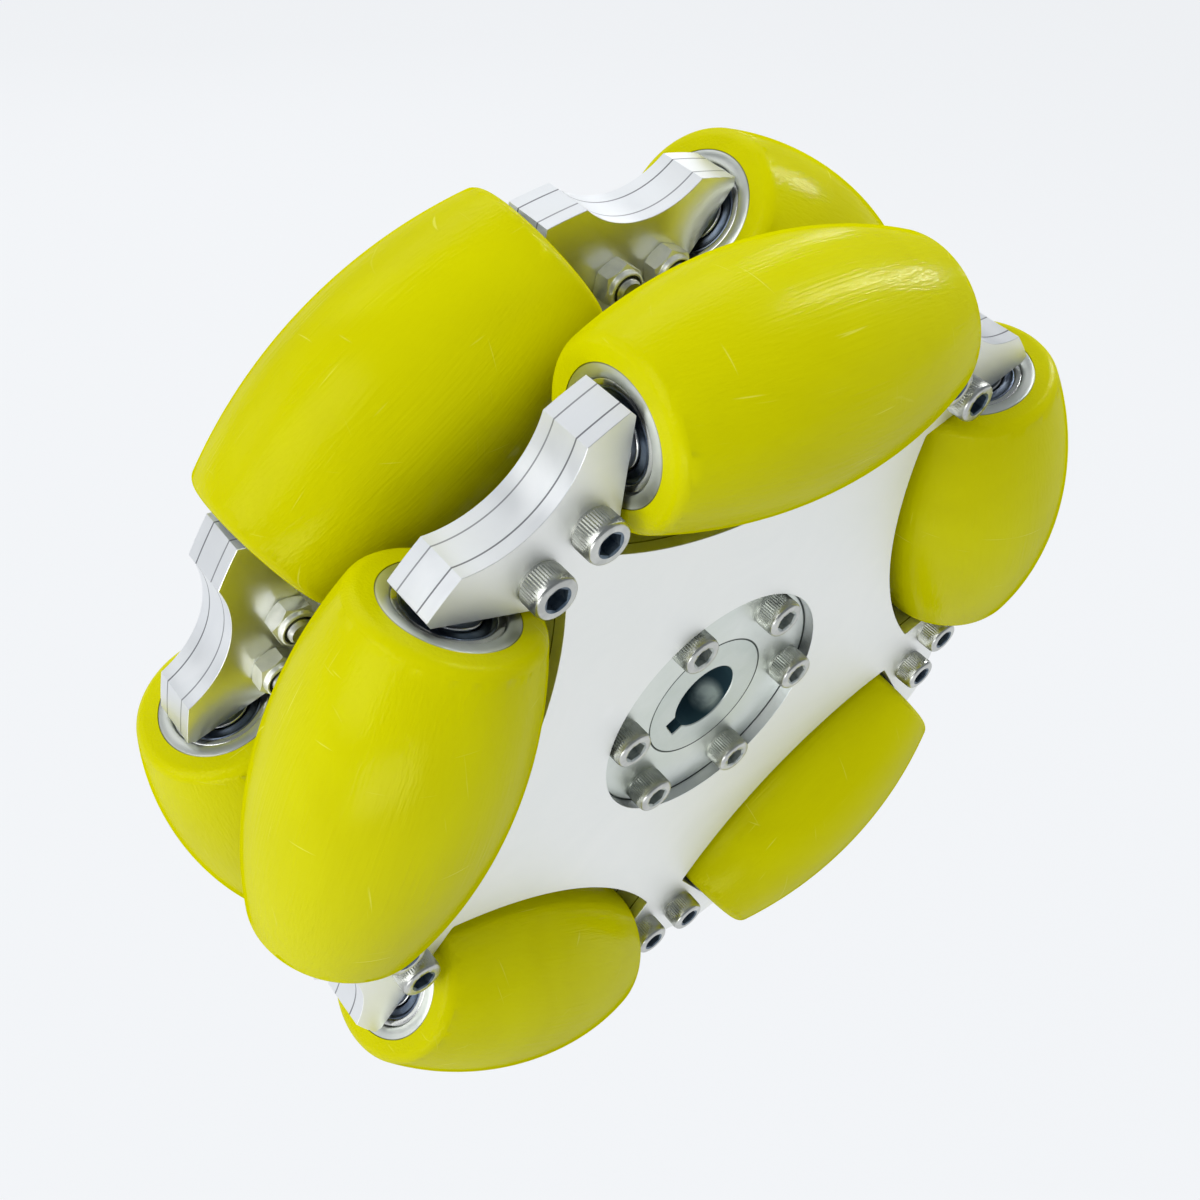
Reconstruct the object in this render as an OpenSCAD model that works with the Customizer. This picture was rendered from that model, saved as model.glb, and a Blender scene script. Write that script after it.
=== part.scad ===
// Double-row omni wheel: ten barrel rollers held by two star-shaped plate sandwiches on a keyed hub.
// The origin is the wheel's centre and +Y runs along the shaft axis. The first front roller is at +Z.
// Angles are measured in the XZ plane, from +X towards +Z.

/* [Wheel] */
// Diameter over the rollers
wheel_d = 203; // [180:1:230]
// Distance between the middle planes of the two rows
row_spacing = 42; // [41:0.5:50]

/* [Rollers] */
// Largest diameter of a roller, at its waist
roller_d = 45; // [42:0.5:47]
// Radius of the rounded edge at each end of a tyre
tyre_edge_r = 3.5; // [2:0.25:4]
// Outside diameter of the metal core inside a tyre
core_d = 24; // [22:0.5:27]
// Gap between a roller's end face and the arm beside it
end_gap = 0.8; // [0.6:0.1:1.5]

/* [Bearings and axles] */
// Outside diameter of a ball bearing
bearing_od = 19; // [18:0.5:20]
// Bore of a ball bearing
bearing_bore = 8; // [6:0.5:9]
// Width of a ball bearing
bearing_w = 6; // [5:0.5:8]
// Depth of a bearing's face below the end of the core
bearing_recess = 0.5; // [0.2:0.1:1.5]
// How far an axle end reaches into an arm
axle_grip = 5; // [3:0.5:5.5]

/* [Star plates] */
// Thickness of the middle layer of a sandwich
middle_t = 5.5; // [4.5:0.25:7]
// Thickness of the outer and inner star plates
star_t = 2.75; // [2:0.25:3.5]
// How far the arm tips stay inside the wheel's diameter
tip_inset = 6; // [5:0.5:8]
// Width of an arm where the axles enter it; the rollers fill the space between two arms
arm_w = 34.6; // [30:0.2:40]
// Depth of the round scallop in an arm tip
scallop_depth = 5.9; // [3:0.1:7]
// Radius of the scallop
scallop_r = 20; // [16:0.5:26]
// Chamfer on an arm's outer corners
corner_chamfer = 1.6; // [0.5:0.1:3]
// Gap between a roller's waist and the floor of its notch
notch_gap = 4.9; // [3:0.1:7]
// Radius of the notch floor
notch_floor_r = 90; // [70:1:120]
// Radius of the corner between the notch floor and the side of an arm
notch_corner_r = 1; // [0.5:0.25:2.5]

/* [Hub] */
// Diameter of the shaft bore
bore_d = 16; // [12:0.5:18]
// Width of the keyway
key_w = 5; // [3:0.5:6]
// Depth of the keyway beyond the bore
key_depth = 2.3; // [1.5:0.1:3]
// Direction of the keyway
key_angle = 211; // [0:1:359]
// Diameter of the spigot that centres the middle layers
spigot_d = 30; // [27:0.5:32]
// Diameter of the two hub flanges
flange_d = 56.8; // [55:0.2:60]
// Thickness of a hub flange
flange_t = 7; // [6:0.5:9]
// Diameter of the barrel between the flanges
barrel_d = 40; // [32:1:40]

/* [Fasteners] */
// Thread diameter of all screws
screw_d = 5; // [4:0.5:5]
// Diameter of the screw heads
head_d = 8.5; // [7:0.5:8.5]
// Height of the screw heads
head_h = 5; // [4:0.5:6]
// Width across flats of the hex sockets
socket_af = 4; // [2.5:0.5:5]
// Width across flats of the lock nuts
nut_af = 8; // [7.5:0.5:9]
// Height of the lock nuts
nut_h = 5; // [4.5:0.5:6]
// Distance of the hub screws inward from the edge of the hub flange
hub_screw_inset = 4.9; // [4.4:0.1:6]
// Distance of the arm screws inward from the arm tips' circle
arm_screw_inset = 16; // [15:0.25:18]
// Distance between the two screws of an arm
arm_screw_pitch = 11.75; // [10:0.25:12]
// Length of thread that stands out of a lock nut
thread_end = 1; // [0:0.5:3]

/* [Hidden] */
$fn = 96;
eps = 0.5;

// Numbers of things that this wheel has.
ROWS = ["front", "rear"];
ROLLERS = 5;
HUB_SCREWS = 6;
step = 360 / ROLLERS;
roller_phase = 90;
hub_screw_phase = 54;

// Clearances.
seat_fit = 0.02;
shaft_fit = 0.02;
flange_fit = 0.1;
flat_fit = 0.05;
thread_fit = 0.05;
hole_fit = 0.25;
shield_gap = 0.25;

// Rollers. The side of an arm lies square to the axle of the roller beside it, half_span from the
// roller's middle.
wheel_r = wheel_d / 2;
axis_r = wheel_r - roller_d / 2;
half_span = axis_r * tan(step / 2) - arm_w / (2 * cos(step / 2));
roller_len = 2 * (half_span - end_gap);
core_shoulder = 2.5;
core_bore_d = bearing_od - 2 * core_shoulder;
race_t = 1.5;
race_groove = 0.5;
ring_edge = 0.4;
inner_ring_t = 1.6;
inner_ring_d = bearing_bore + 2 * inner_ring_t;
shield_t = 0.4;
shield_inset = 0.3;
seat_depth = bearing_recess + bearing_w;

// Plates and axles.
axle_len = 2 * (half_span + axle_grip);
sandwich_t = middle_t + 2 * star_t;
star_r = wheel_r - tip_inset;
notch_floor = axis_r - roller_d / 2 - notch_gap;
tip_corner_x = sqrt(star_r * star_r - half_span * half_span);
star_hole_d = flange_d + 2 * flange_fit;
screw_hole_d = screw_d + 2 * hole_fit;
arm_screw_r = star_r - arm_screw_inset;
spacer_step = 0.2;
spacer_d = inner_ring_d - 2 * spacer_step;
spacer_t = end_gap + bearing_recess - 2 * flat_fit;

// Hub.
bore_edge = 0.4;
spigot_edge = 0.3;
flange_edge = 0.5;
hub_screw_r = flange_d / 2 - hub_screw_inset;

// Fasteners.
head_edge = 0.5;
socket_depth = head_h / 2;
insert_h = 1.4;
insert_t = 0.7;
insert_inset = 0.2;
collar_inset = 0.3;
collar_d = nut_af - 2 * collar_inset;
collar_h = 1.3;
screw_end_gap = 0.5;
arm_screw_len = sandwich_t + nut_h + thread_end;
hub_screw_len = middle_t + flange_t - screw_end_gap;

STEEL = [0.62, 0.61, 0.58];
ALLOY = [0.86, 0.88, 0.87];
TYRE = [0.80, 0.81, 0.02];
BLACK = [0.06, 0.06, 0.07];

function roller_nodes(piece) = [for (row = ROWS, k = [1:ROLLERS]) str(row, "_roller_", k, "_", piece)];
function row_nodes(piece) = [for (row = ROWS) str(row, "_", piece)];

// ---- Placing ----

// A row's own frame has its middle plane at y = 0 and its outer face towards -Y. The rear row is the
// front row mirrored and turned by half a step.
module in_row(row) {
    if (row == "front") {
        translate([0, -row_spacing / 2, 0]) children();
    } else {
        mirror([0, 1, 0]) translate([0, -row_spacing / 2, 0]) rotate([0, -step / 2, 0]) children();
    }
}

// Turns a child from +X to the given direction in the XZ plane.
module at_angle(angle) {
    rotate([0, -angle, 0]) children();
}

// The child's Z axis becomes the axle of roller k.
module at_roller(row, k) {
    in_row(row) at_angle(roller_phase + (k - 1) * step) translate([axis_r, 0, 0]) children();
}

// The child is drawn at both ends of a roller, with +Z pointing out of the end face.
module at_both_ends(z) {
    for (side = [0, 1]) {
        mirror([0, 0, side]) translate([0, 0, z]) children();
    }
}

// A flat outline in the wheel's plane, from depth y over thickness t.
module plate(y, t) {
    translate([0, y + t, 0]) rotate([90, 0, 0]) linear_extrude(t) children();
}

// The child's Z axis points out of the row's outer face.
module facing_out(x, y, z) {
    translate([x, y, z]) rotate([90, 0, 0]) children();
}

// ---- Rollers ----

// The profile is an arc about the wheel's own centre, so that a row rolls as a full circle. A circle of
// radius tyre_edge_r rounds it into the end face.
module tyre_2d() {
    edge_y = roller_len / 2 - tyre_edge_r;
    edge_x = sqrt(pow(wheel_r - tyre_edge_r, 2) - edge_y * edge_y) - axis_r;
    rim = (wheel_r + eps) / (wheel_r - tyre_edge_r);
    intersection() {
        translate([core_d / 2, -roller_len / 2]) square([roller_d, roller_len]);
        union() {
            difference() {
                translate([-axis_r, 0]) circle(r = wheel_r, $fn = 180);
                for (side = [-1, 1]) {
                    polygon([
                        [edge_x, side * edge_y],
                        [edge_x, side * roller_len],
                        [roller_d, side * roller_len],
                        [(edge_x + axis_r) * rim - axis_r, side * edge_y * rim]
                    ]);
                }
            }
            for (side = [-1, 1]) {
                translate([edge_x, side * edge_y]) circle(r = tyre_edge_r);
            }
        }
    }
}

module tyre() {
    color(TYRE) rotate_extrude() tyre_2d();
}

module core() {
    color(ALLOY) difference() {
        cylinder(d = core_d - 2 * seat_fit, h = roller_len, center = true);
        cylinder(d = core_bore_d, h = roller_len + eps, center = true);
        at_both_ends(roller_len / 2 - seat_depth) cylinder(d = bearing_od, h = seat_depth + eps);
    }
}

// Half section of a ring from y = 0 to y = w, with chamfers on its outer and inner edges.
module ring_2d(r_in, r_out, w, out_edge, in_edge) {
    polygon([
        [r_in + in_edge, 0],
        [r_out - out_edge, 0],
        [r_out, out_edge],
        [r_out, w - out_edge],
        [r_out - out_edge, w],
        [r_in + in_edge, w],
        [r_in, w - in_edge],
        [r_in, in_edge]
    ]);
}

// Outer ring with its two shields. The inner ring stays with the axle.
module bearing_outer() {
    ring_r = bearing_od / 2 - seat_fit;
    shield_r = inner_ring_d / 2 + shield_gap;
    shield_y = shield_inset + shield_t;
    rotate_extrude() difference() {
        ring_2d(shield_r, ring_r, bearing_w - seat_fit, ring_edge, 0);
        translate([0, -eps]) square([ring_r - race_t, shield_inset + eps]);
        translate([0, bearing_w - shield_inset]) square([ring_r - race_t, shield_inset + eps]);
        translate([0, shield_y]) square([ring_r - race_t + race_groove, bearing_w - 2 * shield_y]);
    }
}

module bearings() {
    color(STEEL) at_both_ends(roller_len / 2 - seat_depth + seat_fit) bearing_outer();
}

module inner_ring() {
    rotate_extrude() ring_2d(bearing_bore / 2, inner_ring_d / 2, bearing_w, ring_edge / 2, ring_edge);
}

module bearing_inner_rings() {
    color(STEEL) for (row = ROWS, k = [1:ROLLERS]) {
        at_roller(row, k) at_both_ends(roller_len / 2 - seat_depth) inner_ring();
    }
}

module spacer() {
    difference() {
        cylinder(d = spacer_d, h = spacer_t);
        translate([0, 0, -eps]) cylinder(d = bearing_bore, h = spacer_t + 2 * eps);
    }
}

// A thin collar keeps each inner ring off the arm.
module axle_spacers() {
    color(STEEL) for (row = ROWS, k = [1:ROLLERS]) {
        at_roller(row, k) at_both_ends(roller_len / 2 - bearing_recess + flat_fit) spacer();
    }
}

// Round between the arms, with two flats on each end that the outer and inner stars clamp.
module axle() {
    axle_d = bearing_bore - 2 * shaft_fit;
    color(STEEL) intersection() {
        cylinder(d = axle_d, h = axle_len - 2 * flat_fit, center = true);
        union() {
            cylinder(d = 2 * axle_d, h = 2 * half_span - 2 * flat_fit, center = true);
            cube([2 * axle_d, middle_t - 2 * flat_fit, axle_len + eps], center = true);
        }
    }
}

// ---- Star plates ----

// The space for one roller, drawn along +X: a round floor and two sides square to the axle, with round
// inner corners and chamfered outer ones.
module notch_2d() {
    floor_x = notch_floor + notch_floor_r;
    corner_y = half_span - notch_corner_r;
    corner_x = floor_x - sqrt(pow(notch_floor_r - notch_corner_r, 2) - corner_y * corner_y);
    reach = notch_floor_r / (notch_floor_r - notch_corner_r);
    difference() {
        intersection() {
            translate([notch_floor, -half_span]) square([star_r, 2 * half_span]);
            translate([floor_x, 0]) circle(r = notch_floor_r, $fn = 240);
        }
        for (side = [-1, 1]) {
            polygon([
                [corner_x, side * corner_y],
                [floor_x - (floor_x - corner_x) * reach, side * corner_y * reach],
                [notch_floor, side * corner_y * reach],
                [notch_floor, side * (half_span + eps)],
                [corner_x, side * (half_span + eps)]
            ]);
        }
    }
    for (side = [-1, 1]) {
        translate([corner_x, side * corner_y]) circle(r = notch_corner_r, $fn = 48);
        translate([tip_corner_x, side * half_span])
            rotate(45)
            square(corner_chamfer * sqrt(2), center = true);
    }
}

module star_2d() {
    difference() {
        circle(r = star_r, $fn = 240);
        for (k = [1:ROLLERS]) {
            roller_angle = roller_phase + (k - 1) * step;
            rotate(roller_angle) notch_2d();
            rotate(roller_angle + step / 2) {
                translate([star_r - scallop_depth + scallop_r, 0]) circle(r = scallop_r, $fn = 120);
                for (side = [-1, 1]) {
                    translate([arm_screw_r, side * arm_screw_pitch / 2]) circle(d = screw_hole_d, $fn = 32);
                }
            }
        }
    }
}

module thin_star(row, y) {
    color(ALLOY) in_row(row) plate(y, star_t) difference() {
        star_2d();
        circle(d = star_hole_d);
    }
}

// The middle layer also holds the axle ends, in slots that open beside the rollers.
module middle_star(row) {
    color(ALLOY) in_row(row) plate(-middle_t / 2, middle_t) difference() {
        star_2d();
        circle(d = spigot_d + 2 * seat_fit);
        for (k = [1:ROLLERS]) {
            rotate(roller_phase + (k - 1) * step)
                translate([axis_r, 0])
                square([bearing_bore, axle_len], center = true);
        }
        for (k = [1:HUB_SCREWS]) {
            rotate(row_hub_angle(row, k)) translate([hub_screw_r, 0]) circle(d = screw_hole_d, $fn = 32);
        }
    }
}

// ---- Hub ----

// Direction of hub screw k in the row's own frame, so that both rows line up with the hub's holes.
function row_hub_angle(row, k) = hub_screw_phase + k * 360 / HUB_SCREWS - (row == "rear" ? step / 2 : 0);

// Half section of the turned hub: two spigots, two flanges and the barrel between them.
module hub_2d() {
    end_y = (row_spacing + middle_t) / 2;
    seat_y = (row_spacing - middle_t) / 2;
    spigot_r = spigot_d / 2;
    flange_r = flange_d / 2;
    front_half = [
        [barrel_d / 2, seat_y - flange_t],
        [flange_r - flange_edge, seat_y - flange_t],
        [flange_r, seat_y - flange_t + flange_edge],
        [flange_r, seat_y - flange_edge],
        [flange_r - flange_edge, seat_y],
        [spigot_r, seat_y],
        [spigot_r, end_y - spigot_edge],
        [spigot_r - spigot_edge, end_y],
        [0, end_y]
    ];
    rear_half = [for (k = [len(front_half) - 1:-1:0]) [front_half[k].x, -front_half[k].y]];
    polygon(concat(front_half, rear_half));
}

module hub() {
    hub_len = row_spacing + middle_t;
    color(ALLOY) difference() {
        rotate([90, 0, 0]) difference() {
            rotate_extrude() hub_2d();
            cylinder(d = bore_d, h = hub_len + eps, center = true);
            at_both_ends(hub_len / 2 - bore_edge) {
                cylinder(d1 = bore_d, d2 = bore_d + 4 * bore_edge, h = 2 * bore_edge);
            }
        }
        at_angle(key_angle) {
            translate([0, -hub_len, -key_w / 2]) cube([bore_d / 2 + key_depth, 2 * hub_len, key_w]);
        }
        for (k = [1:HUB_SCREWS]) {
            at_angle(hub_screw_phase + k * 360 / HUB_SCREWS)
                translate([hub_screw_r, 0, 0])
                rotate([90, 0, 0])
                cylinder(d = screw_d + 2 * thread_fit, h = hub_len, center = true, $fn = 32);
        }
    }
}

// ---- Fasteners ----

// Socket cap screw. The underside of its head lies at z = 0 and the head stands towards +Z.
module cap_screw(length) {
    difference() {
        union() {
            cylinder(d = head_d, h = head_h - head_edge);
            translate([0, 0, head_h - head_edge])
                cylinder(d1 = head_d, d2 = head_d - 2 * head_edge, h = head_edge);
            translate([0, 0, -length]) cylinder(d = screw_d, h = length + head_edge, $fn = 32);
        }
        translate([0, 0, head_h - socket_depth]) cylinder(d = socket_af / cos(30), h = head_h, $fn = 6);
    }
}

// Lock nut with a round collar over its locking ring. Its seat is at z = 0.
module lock_nut() {
    corner_d = nut_af / cos(30);
    hex_h = nut_h - collar_h;
    difference() {
        union() {
            intersection() {
                cylinder(d = corner_d, h = hex_h, $fn = 6);
                cylinder(d1 = corner_d + 2 * hex_h, d2 = nut_af, h = hex_h);
            }
            cylinder(d = collar_d, h = nut_h);
        }
        translate([0, 0, -eps]) cylinder(d = screw_d + 2 * thread_fit, h = nut_h + 2 * eps, $fn = 32);
        translate([0, 0, nut_h - insert_h])
            cylinder(d = screw_d + 2 * insert_t, h = insert_h + eps, $fn = 48);
    }
}

module nut_insert() {
    difference() {
        cylinder(d = screw_d + 2 * insert_t - 2 * seat_fit, h = insert_h - insert_inset, $fn = 48);
        translate([0, 0, -eps]) cylinder(d = screw_d + 2 * thread_fit, h = insert_h + 2 * eps, $fn = 32);
    }
}

// Places a child at every arm screw of a row, at depth y.
module at_arm_screws(row, y) {
    in_row(row) for (k = [1:ROLLERS], side = [-1, 1]) {
        at_angle(roller_phase + (k - 0.5) * step)
            facing_out(arm_screw_r, y, side * arm_screw_pitch / 2) children();
    }
}

module hub_screws(row) {
    color(STEEL) in_row(row) for (k = [1:HUB_SCREWS]) {
        at_angle(row_hub_angle(row, k)) facing_out(hub_screw_r, -middle_t / 2, 0) cap_screw(hub_screw_len);
    }
}

module arm_screws(row) {
    color(STEEL) at_arm_screws(row, -sandwich_t / 2) cap_screw(arm_screw_len);
}

module lock_nuts(row) {
    color(STEEL) at_arm_screws(row, sandwich_t / 2) mirror([0, 0, 1]) lock_nut();
}

module nut_inserts() {
    color(BLACK) for (row = ROWS) {
        at_arm_screws(row, sandwich_t / 2 + nut_h - insert_h) mirror([0, 0, 1]) nut_insert();
    }
}

// ---- The wheel ----

for (row = ROWS, k = [1:ROLLERS]) {
    at_roller(row, k) tyre();
    at_roller(row, k) core();
    at_roller(row, k) bearings();
    at_roller(row, k) axle();
}
for (row = ROWS) {
    thin_star(row, -sandwich_t / 2);
    middle_star(row);
    thin_star(row, middle_t / 2);
    hub_screws(row);
    arm_screws(row);
    lock_nuts(row);
}
bearing_inner_rings();
axle_spacers();
hub();
nut_inserts();
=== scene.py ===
# %% [markdown]
# # A double-row omni wheel
# Ten barrel-shaped rollers in two rows let this wheel roll forwards on the shaft and slide sideways on
# its rollers. Every piece is made here as its maker would make it: lathe work is spun, plate work is
# drawn flat and extruded, and bare sharp corners get the small edge break that catches the light.
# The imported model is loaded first, as a fixed frame that says where every piece sits.

# %% Load the frame
import random
from math import acos, asin, atan2, cos, pi, radians, sin, sqrt, tan

import bmesh
import bpy
from mathutils import Matrix, Vector


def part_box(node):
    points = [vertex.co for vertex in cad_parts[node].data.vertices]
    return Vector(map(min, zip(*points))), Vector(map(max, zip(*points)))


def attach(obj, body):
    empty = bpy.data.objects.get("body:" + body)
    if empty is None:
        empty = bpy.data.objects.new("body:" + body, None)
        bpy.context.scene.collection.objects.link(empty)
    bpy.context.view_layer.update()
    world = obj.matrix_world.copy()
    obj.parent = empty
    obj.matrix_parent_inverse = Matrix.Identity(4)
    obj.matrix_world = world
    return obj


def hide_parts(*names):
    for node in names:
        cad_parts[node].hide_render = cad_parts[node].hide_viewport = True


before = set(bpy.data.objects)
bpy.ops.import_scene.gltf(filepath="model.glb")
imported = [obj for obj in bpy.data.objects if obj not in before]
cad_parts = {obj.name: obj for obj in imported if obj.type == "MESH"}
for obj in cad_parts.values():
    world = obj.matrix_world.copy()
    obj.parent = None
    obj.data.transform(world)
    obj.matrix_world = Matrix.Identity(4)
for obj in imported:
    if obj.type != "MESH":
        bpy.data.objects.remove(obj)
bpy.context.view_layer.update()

scene = bpy.context.scene
MM = 0.001

# %% [markdown]
# ## Sizes
# The main sizes are read from the frame, and the others repeat those of the solids. The first front
# roller stands at the top of the wheel with its axle along X, which makes its box easy to read. Named
# lengths are in metres, and a lathe's points are in millimetres.

# %% Read the main sizes
roller_low, roller_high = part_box("front_roller_1_tyre")
WHEEL_R = roller_high.z
ROLLER_R = (roller_high.y - roller_low.y) / 2
ROLLER_HALF = roller_high.x
AXIS_R = WHEEL_R - ROLLER_R
ROW_Y = -(roller_high.y + roller_low.y) / 2
print(f"wheel {WHEEL_R / MM:.2f} mm radius, roller {ROLLER_R / MM:.2f} mm radius, "
      f"half length {ROLLER_HALF / MM:.2f} mm")

# %% Name the sizes of the plates, hub and bearings
CORE_R = 11.98 * MM
SEAT_R = 9.5 * MM
SEAT_DEPTH = 6.5 * MM
BEARING_RECESS = 0.5 * MM
BEARING_BORE_R = 4.0 * MM
RACE_T = 1.5 * MM
MIDDLE_T = 5.5 * MM
STAR_T = 2.75 * MM
SANDWICH = MIDDLE_T + 2 * STAR_T
STAR_R = 95.5 * MM
NOTCH_FLOOR = 51.6 * MM
NOTCH_FLOOR_R = 90.0 * MM
NOTCH_CORNER_R = 1.0 * MM
END_GAP = 0.8 * MM
SIDE_Y = ROLLER_HALF + END_GAP
CORNER_CUT = 1.6 * MM
SCALLOP_R = 20.0 * MM
SCALLOP_X = STAR_R - 5.9 * MM + SCALLOP_R
RECESS_R = 28.5 * MM
SPIGOT_R = 15.0 * MM
SPIGOT_HOLE_R = 15.02 * MM
BORE_R = 8.0 * MM
SCREW_HOLE_R = 2.75 * MM
ARM_SCREW_X = STAR_R - 16.0 * MM
ARM_SCREW_Y = 5.875 * MM
HUB_SCREW_R = 23.5 * MM

# %% Name the angles, in degrees, and number the rollers
FIRST_ROLLER = 90
STEP = 72
HALF_STEP = STEP // 2
HUB_SCREW_PHASE = 54
SIXTH_TURN = 60
ROWS = ("front", "rear")
ROLLERS = [(row, k) for row in ROWS for k in range(1, 6)]
rng = random.Random(20)

# %% [markdown]
# ## Placing
# Each row is drawn in its own frame, with its middle plane at y = 0 and its outer face towards -Y. The
# rear row is the front row mirrored and turned half a step about the shaft, so the same drawing serves
# both. A roller's own Z axis runs along its axle and its X axis points outwards.

# %% Turn a row's own frame into the wheel's frame
def row_place(row):
    if row == "front":
        return Matrix.Translation((0, -ROW_Y, 0))
    mirrored = Matrix.Scale(-1, 4, (0, 1, 0)) @ Matrix.Translation((0, -ROW_Y, 0))
    return mirrored @ Matrix.Rotation(radians(-HALF_STEP), 4, "Y")


def at_angle(angle):
    return Matrix.Rotation(radians(-angle), 4, "Y")


def at_roller(row, k):
    angle = FIRST_ROLLER + STEP * (k - 1)
    return row_place(row) @ at_angle(angle) @ Matrix.Translation((AXIS_R, 0, 0))


def facing_out(row, angle, radius, y, side=0.0, turn=0.0):
    """A place on the row's plates whose Z axis points out of the outer face."""
    place = row_place(row) @ at_angle(angle) @ Matrix.Translation((radius, y, side))
    return place @ Matrix.Rotation(radians(90), 4, "X") @ Matrix.Rotation(radians(turn), 4, "Z")


# %% [markdown]
# ## Tools for the bench
# A short pen draws lines and arcs by extruding and spinning one vertex, so an outline is drawn the way
# a drawing board does it. A lathe spins a half section. Other helpers break the sharp edges, join
# parts, set copies in their places, and turn a finished bmesh into a piece that rides on its body.

# %% The pen and the lathe
def start(bm, x, y, z=0.0):
    return bm.verts.new((x, y, z))


def line(bm, tip, x, y, z=0.0):
    tip = bmesh.ops.extrude_vert_indiv(bm, verts=[tip])["verts"][0]
    tip.co = (x, y, z)
    return tip


def arc(bm, tip, centre, angle, steps, axis=(0, 0, 1)):
    swept = bmesh.ops.spin(bm, geom=[tip], cent=centre, axis=axis, dvec=(0, 0, 0),
                           angle=angle, steps=steps, use_duplicate=False)
    return swept["geom_last"][0]


def lathe(bm, steps=96):
    """Spins everything drawn so far in the XZ plane about Z, and closes the seam and the poles."""
    bmesh.ops.spin(bm, geom=bm.verts[:] + bm.edges[:], cent=(0, 0, 0), axis=(0, 0, 1), dvec=(0, 0, 0),
                   angle=2 * pi, steps=steps, use_merge=True, use_duplicate=False)
    bmesh.ops.remove_doubles(bm, verts=bm.verts, dist=0.002 * MM)
    bmesh.ops.recalc_face_normals(bm, faces=bm.faces)


def turned(points, steps=96, closed=True):
    """A turned part from the corner points of its half section, in millimetres."""
    bm = bmesh.new()
    tip = first = start(bm, points[0][0] * MM, 0, points[0][1] * MM)
    for r, z in points[1:]:
        tip = line(bm, tip, r * MM, 0, z * MM)
    if closed:
        bm.edges.new((tip, first))
    lathe(bm, steps)
    return bm


# %% Break sharp edges, join parts and copies, and mount a piece
def least_radius(edge):
    return min(v.co.xy.length for v in edge.verts)


def break_edges(bm, width, segments=2, sharper_than=45, test=None):
    """Bevels the edges sharper than so many degrees, or only those of them for which test(edge) holds."""
    sharp = [e for e in bm.edges if len(e.link_faces) == 2 and e.calc_face_angle() > radians(sharper_than)]
    if test:
        sharp = [e for e in sharp if test(e)]
    bmesh.ops.bevel(bm, geom=sharp, offset=width * MM, offset_type="OFFSET", segments=segments,
                    profile=0.5, affect="EDGES", clamp_overlap=True, material=-1)


def join(bm, other, slot):
    """Adds another bmesh to this one, with its faces in a material slot of their own."""
    for face in other.faces:
        face.material_index = slot
    mesh = bpy.data.meshes.new("joined")
    other.to_mesh(mesh)
    other.free()
    bm.from_mesh(mesh)
    bpy.data.meshes.remove(mesh)
    return bm


def copies(source, places):
    """One bmesh with the source at every place. A mirrored place gets its faces turned back outwards."""
    mesh = bpy.data.meshes.new("copy")
    source.to_mesh(mesh)
    source.free()
    bm = bmesh.new()
    for place in places:
        before = len(bm.verts), len(bm.faces)
        bm.from_mesh(mesh)
        bm.verts.ensure_lookup_table()
        bm.faces.ensure_lookup_table()
        bmesh.ops.transform(bm, matrix=place, verts=bm.verts[before[0]:])
        if place.determinant() < 0:
            bmesh.ops.reverse_faces(bm, faces=bm.faces[before[1]:])
    bpy.data.meshes.remove(mesh)
    return bm


def mount(bm, name, body, finishes, nodes=(), smooth=35):
    """Turns a bmesh into a piece that rides on a body and stands for its CAD nodes."""
    mesh = bpy.data.meshes.new(name)
    bm.to_mesh(mesh)
    bm.free()
    mesh.shade_smooth()
    mesh.set_sharp_from_angle(angle=radians(smooth))
    for material in finishes:
        mesh.materials.append(material)
    piece = bpy.data.objects.new(name, mesh)
    scene.collection.objects.link(piece)
    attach(piece, body)
    if nodes:
        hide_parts(*nodes)
        lows, highs = zip(*(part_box(n) for n in nodes))
        corners = [v.co for v in mesh.vertices]
        off = max(max(abs(min(c[i] for c in corners) - min(p[i] for p in lows)),
                      abs(max(c[i] for c in corners) - max(p[i] for p in highs))) for i in range(3))
        print(f"{name}: {len(mesh.polygons)} faces, within {off / MM:.2f} mm of its solid's box")
    return piece


# %% [markdown]
# ## Effects that several finishes share
# Five node groups carry the small things that make a surface look real. Each puts out one height or
# one mask, and each finish uses them with its own numbers. *Fine grain* is the tiny unevenness left by
# blasting or moulding, *hairlines* are thin handling scratches, *smudges* are soft patches of another
# tone or gloss, *turning lines* are the rings that a lathe leaves, and *seam lines* are the dark lines
# where two parts meet. The seam lines also place painted shade in creases and a painted highlight in a bore.

# %% A helper that starts a node group
def new_group(name, inputs, outputs):
    group = bpy.data.node_groups.new(name, "ShaderNodeTree")
    for label, kind, value in inputs:
        socket = group.interface.new_socket(name=label, in_out="INPUT", socket_type=kind)
        if value is not None:
            socket.default_value = value
    for label, kind in outputs:
        group.interface.new_socket(name=label, in_out="OUTPUT", socket_type=kind)
    return group, group.nodes.new("NodeGroupInput"), group.nodes.new("NodeGroupOutput")


def node(tree, kind, inputs=None, **settings):
    """Adds a node, sets its properties, and links or sets its inputs by name or number."""
    made = tree.nodes.new(kind)
    for key, value in settings.items():
        setattr(made, key, value)
    for key, value in (inputs or {}).items():
        if isinstance(value, bpy.types.NodeSocket):
            tree.links.new(value, made.inputs[key])
        else:
            made.inputs[key].default_value = value
    return made


def ramp(tree, value, low, high, to_low=0.0, to_high=1.0, kind="LINEAR"):
    """Maps value from low..high to to_low..to_high, held at both ends."""
    limits = {"Value": value, "From Min": low, "From Max": high, "To Min": to_low, "To Max": to_high}
    return node(tree, "ShaderNodeMapRange", limits, interpolation_type=kind).outputs["Result"]


def maths(tree, operation, a, b=0.0):
    return node(tree, "ShaderNodeMath", {0: a, 1: b}, operation=operation).outputs[0]


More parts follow.
